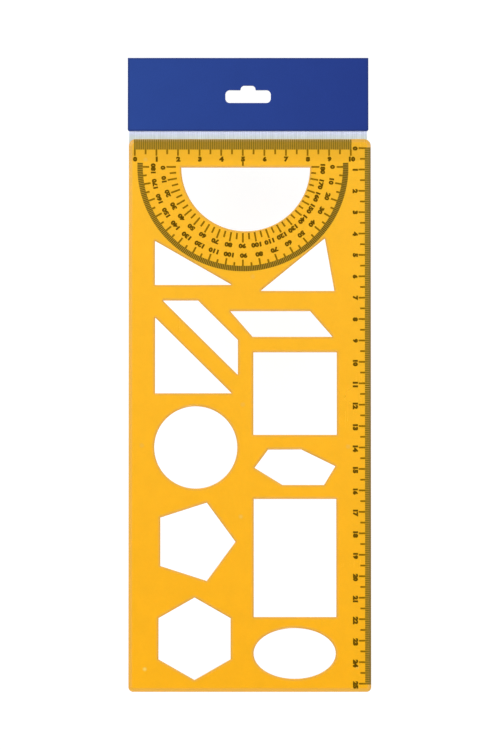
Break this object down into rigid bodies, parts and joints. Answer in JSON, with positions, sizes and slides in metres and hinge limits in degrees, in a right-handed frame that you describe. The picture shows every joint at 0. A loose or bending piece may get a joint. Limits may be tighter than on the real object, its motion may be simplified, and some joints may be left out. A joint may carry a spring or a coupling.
{
  "type": "drafting_template",
  "caption": "Amber plastic drafting template with cut-out drawing shapes, ruler edges and a protractor, hung by a clear film strip from a folded blue header card",
  "frame": {"origin": "On the resting surface, under the middle of the bounding box", "axes": "+X to the right of the printed face, +Y along the length towards the header card, +Z out of the printed face"},
  "size_m": [0.1126, 0.2962, 0.0018],
  "materials": {
    "amber_plastic": "clear amber moulded plastic, smooth and slightly mottled, with dark printed scales",
    "clear_film": "clear film with fine lengthwise ribs, whitish",
    "blue_card": "card printed plain blue, slightly shiny",
    "sticky_tape": "off-white double-sided tape",
    "printing_ink": "dark brown printing ink of the scales and the protractor"
  },
  "bodies": {
    "template": {"template_plate": "amber_plastic"},
    "hanger": {"hanger_strip": "clear_film", "strip_tape": "sticky_tape"},
    "header": {"header_card": "blue_card", "header_back_tape": "sticky_tape", "header_front_tape": "sticky_tape"}
  },
  "joints": [
    {"name": "hanger_pull", "type": "slide", "parent": "template", "child": "hanger", "axis": [0, 1, 0], "range_m": [0, 0.03]},
    {"name": "header_fold", "type": "hinge", "parent": "hanger", "child": "header", "pos_m": [0, 0.11177, 0.00032], "axis": [1, 0, 0], "range_deg": [-120, 120], "stiffness_Nm_per_rad": 0.039, "deforming": ["hanger_strip"]}
  ]
}
